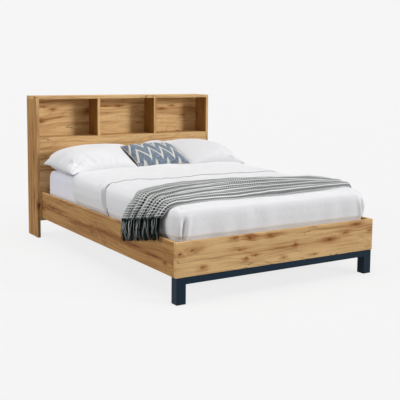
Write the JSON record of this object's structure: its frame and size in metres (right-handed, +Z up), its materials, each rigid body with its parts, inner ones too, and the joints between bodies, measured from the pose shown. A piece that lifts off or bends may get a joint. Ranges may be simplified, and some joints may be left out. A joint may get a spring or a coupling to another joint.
{
  "type": "bookcase headboard bed",
  "caption": "Bookcase headboard bed in rustic oak laminate with open cubbies, panel side rails, a dark steel foot frame and a slatted base, dressed with mattress and bedding.",
  "frame": {"origin": "on the floor, under the middle of the whole bed", "axes": "+Z up, +Y towards the headboard, +X to the right of someone standing at the foot and looking at the headboard"},
  "size_m": [1.525, 2.242, 1.08],
  "materials": {
    "oak_laminate": "satin rustic oak grain with knots and cracks, matching edge banding",
    "pine": "planed knotty pine, unfinished",
    "beech": "fluted raw beech",
    "zinc_steel": "bright zinc plate",
    "anthracite_steel": "blue-black satin powder coat",
    "foot_plastic_steel": "black nylon pad on a steel stud",
    "black_plastic": "black nylon",
    "webbing": "woven cotton tape",
    "fitted_sheet": "smooth percale fitted sheet, faint cool tint",
    "white_cotton": "soft white cotton percale with a piped edge",
    "pillow_cotton": "soft white cotton percale",
    "zigzag_weave": "blue-grey jacquard with ivory zigzag lines",
    "throw_weave": "chunky ivory and black dotted weave"
  },
  "bodies": {
    "bed_frame": {"back_panel_screws": "zinc_steel", "bookcase_back": "oak_laminate", "cam_bolts": "zinc_steel", "cam_locks": "zinc_steel", "centre_leg_foot": "anthracite_steel", "centre_leg_head": "anthracite_steel", "centre_rail": "pine", "centre_rail_hanger_foot": "zinc_steel", "centre_rail_hanger_head": "zinc_steel", "corner_bracket_foot_left": "zinc_steel", "corner_bracket_foot_right": "zinc_steel", "corner_bracket_head_left": "zinc_steel", "corner_bracket_head_right": "zinc_steel", "divider_left": "oak_laminate", "divider_right": "oak_laminate", "foot_crossbar": "anthracite_steel", "foot_end_caps": "black_plastic", "foot_leg_left": "anthracite_steel", "foot_leg_right": "anthracite_steel", "footboard": "oak_laminate", "frame_bolts": "zinc_steel", "headboard_front_board": "oak_laminate", "headboard_glides": "black_plastic", "headboard_shelf": "oak_laminate", "headboard_side_left": "oak_laminate", "headboard_side_right": "oak_laminate", "headboard_top": "oak_laminate", "rear_stretcher": "oak_laminate", "side_rail_left": "oak_laminate", "side_rail_right": "oak_laminate", "slat_01": "pine", "slat_02": "pine", "slat_03": "pine", "slat_04": "pine", "slat_05": "pine", "slat_06": "pine", "slat_07": "pine", "slat_08": "pine", "slat_09": "pine", "slat_10": "pine", "slat_11": "pine", "slat_12": "pine", "slat_13": "pine", "slat_14": "pine", "slat_ledge_left": "pine", "slat_ledge_right": "pine", "slat_straps": "webbing", "threaded_inserts": "zinc_steel", "wood_dowels": "beech", "wood_screws": "zinc_steel"},
    "levelling_foot_head": {"levelling_foot_head": "foot_plastic_steel"},
    "levelling_foot_foot": {"levelling_foot_foot": "foot_plastic_steel"},
    "made_mattress": {"mattress": "fitted_sheet", "duvet": "white_cotton"},
    "throw": {"throw": "throw_weave"},
    "pillow_left": {"pillow_left": "pillow_cotton"},
    "pillow_right": {"pillow_right": "pillow_cotton"},
    "scatter_cushion": {"scatter_cushion": "zigzag_weave"}
  },
  "joints": [
    {"name": "head_levelling_screw", "type": "slide", "parent": "bed_frame", "child": "levelling_foot_head", "axis": [0, 0, 1], "range_m": [0, 0.012]},
    {"name": "foot_levelling_screw", "type": "slide", "parent": "bed_frame", "child": "levelling_foot_foot", "axis": [0, 0, 1], "range_m": [0, 0.012]},
    {"name": "mattress_lift", "type": "slide", "parent": "bed_frame", "child": "made_mattress", "axis": [0, 0, 1], "range_m": [0, 0.3]},
    {"name": "throw_lift", "type": "slide", "parent": "made_mattress", "child": "throw", "axis": [0, 0, 1], "range_m": [0, 0.25]},
    {"name": "pillow_left_pull", "type": "slide", "parent": "made_mattress", "child": "pillow_left", "axis": [-1, 0, 0], "range_m": [0, 0.35]},
    {"name": "pillow_right_pull", "type": "slide", "parent": "made_mattress", "child": "pillow_right", "axis": [1, 0, 0], "range_m": [0, 0.35]},
    {"name": "cushion_lift", "type": "slide", "parent": "made_mattress", "child": "scatter_cushion", "axis": [0, -0.3746, 0.9272], "range_m": [0, 0.3]}
  ]
}
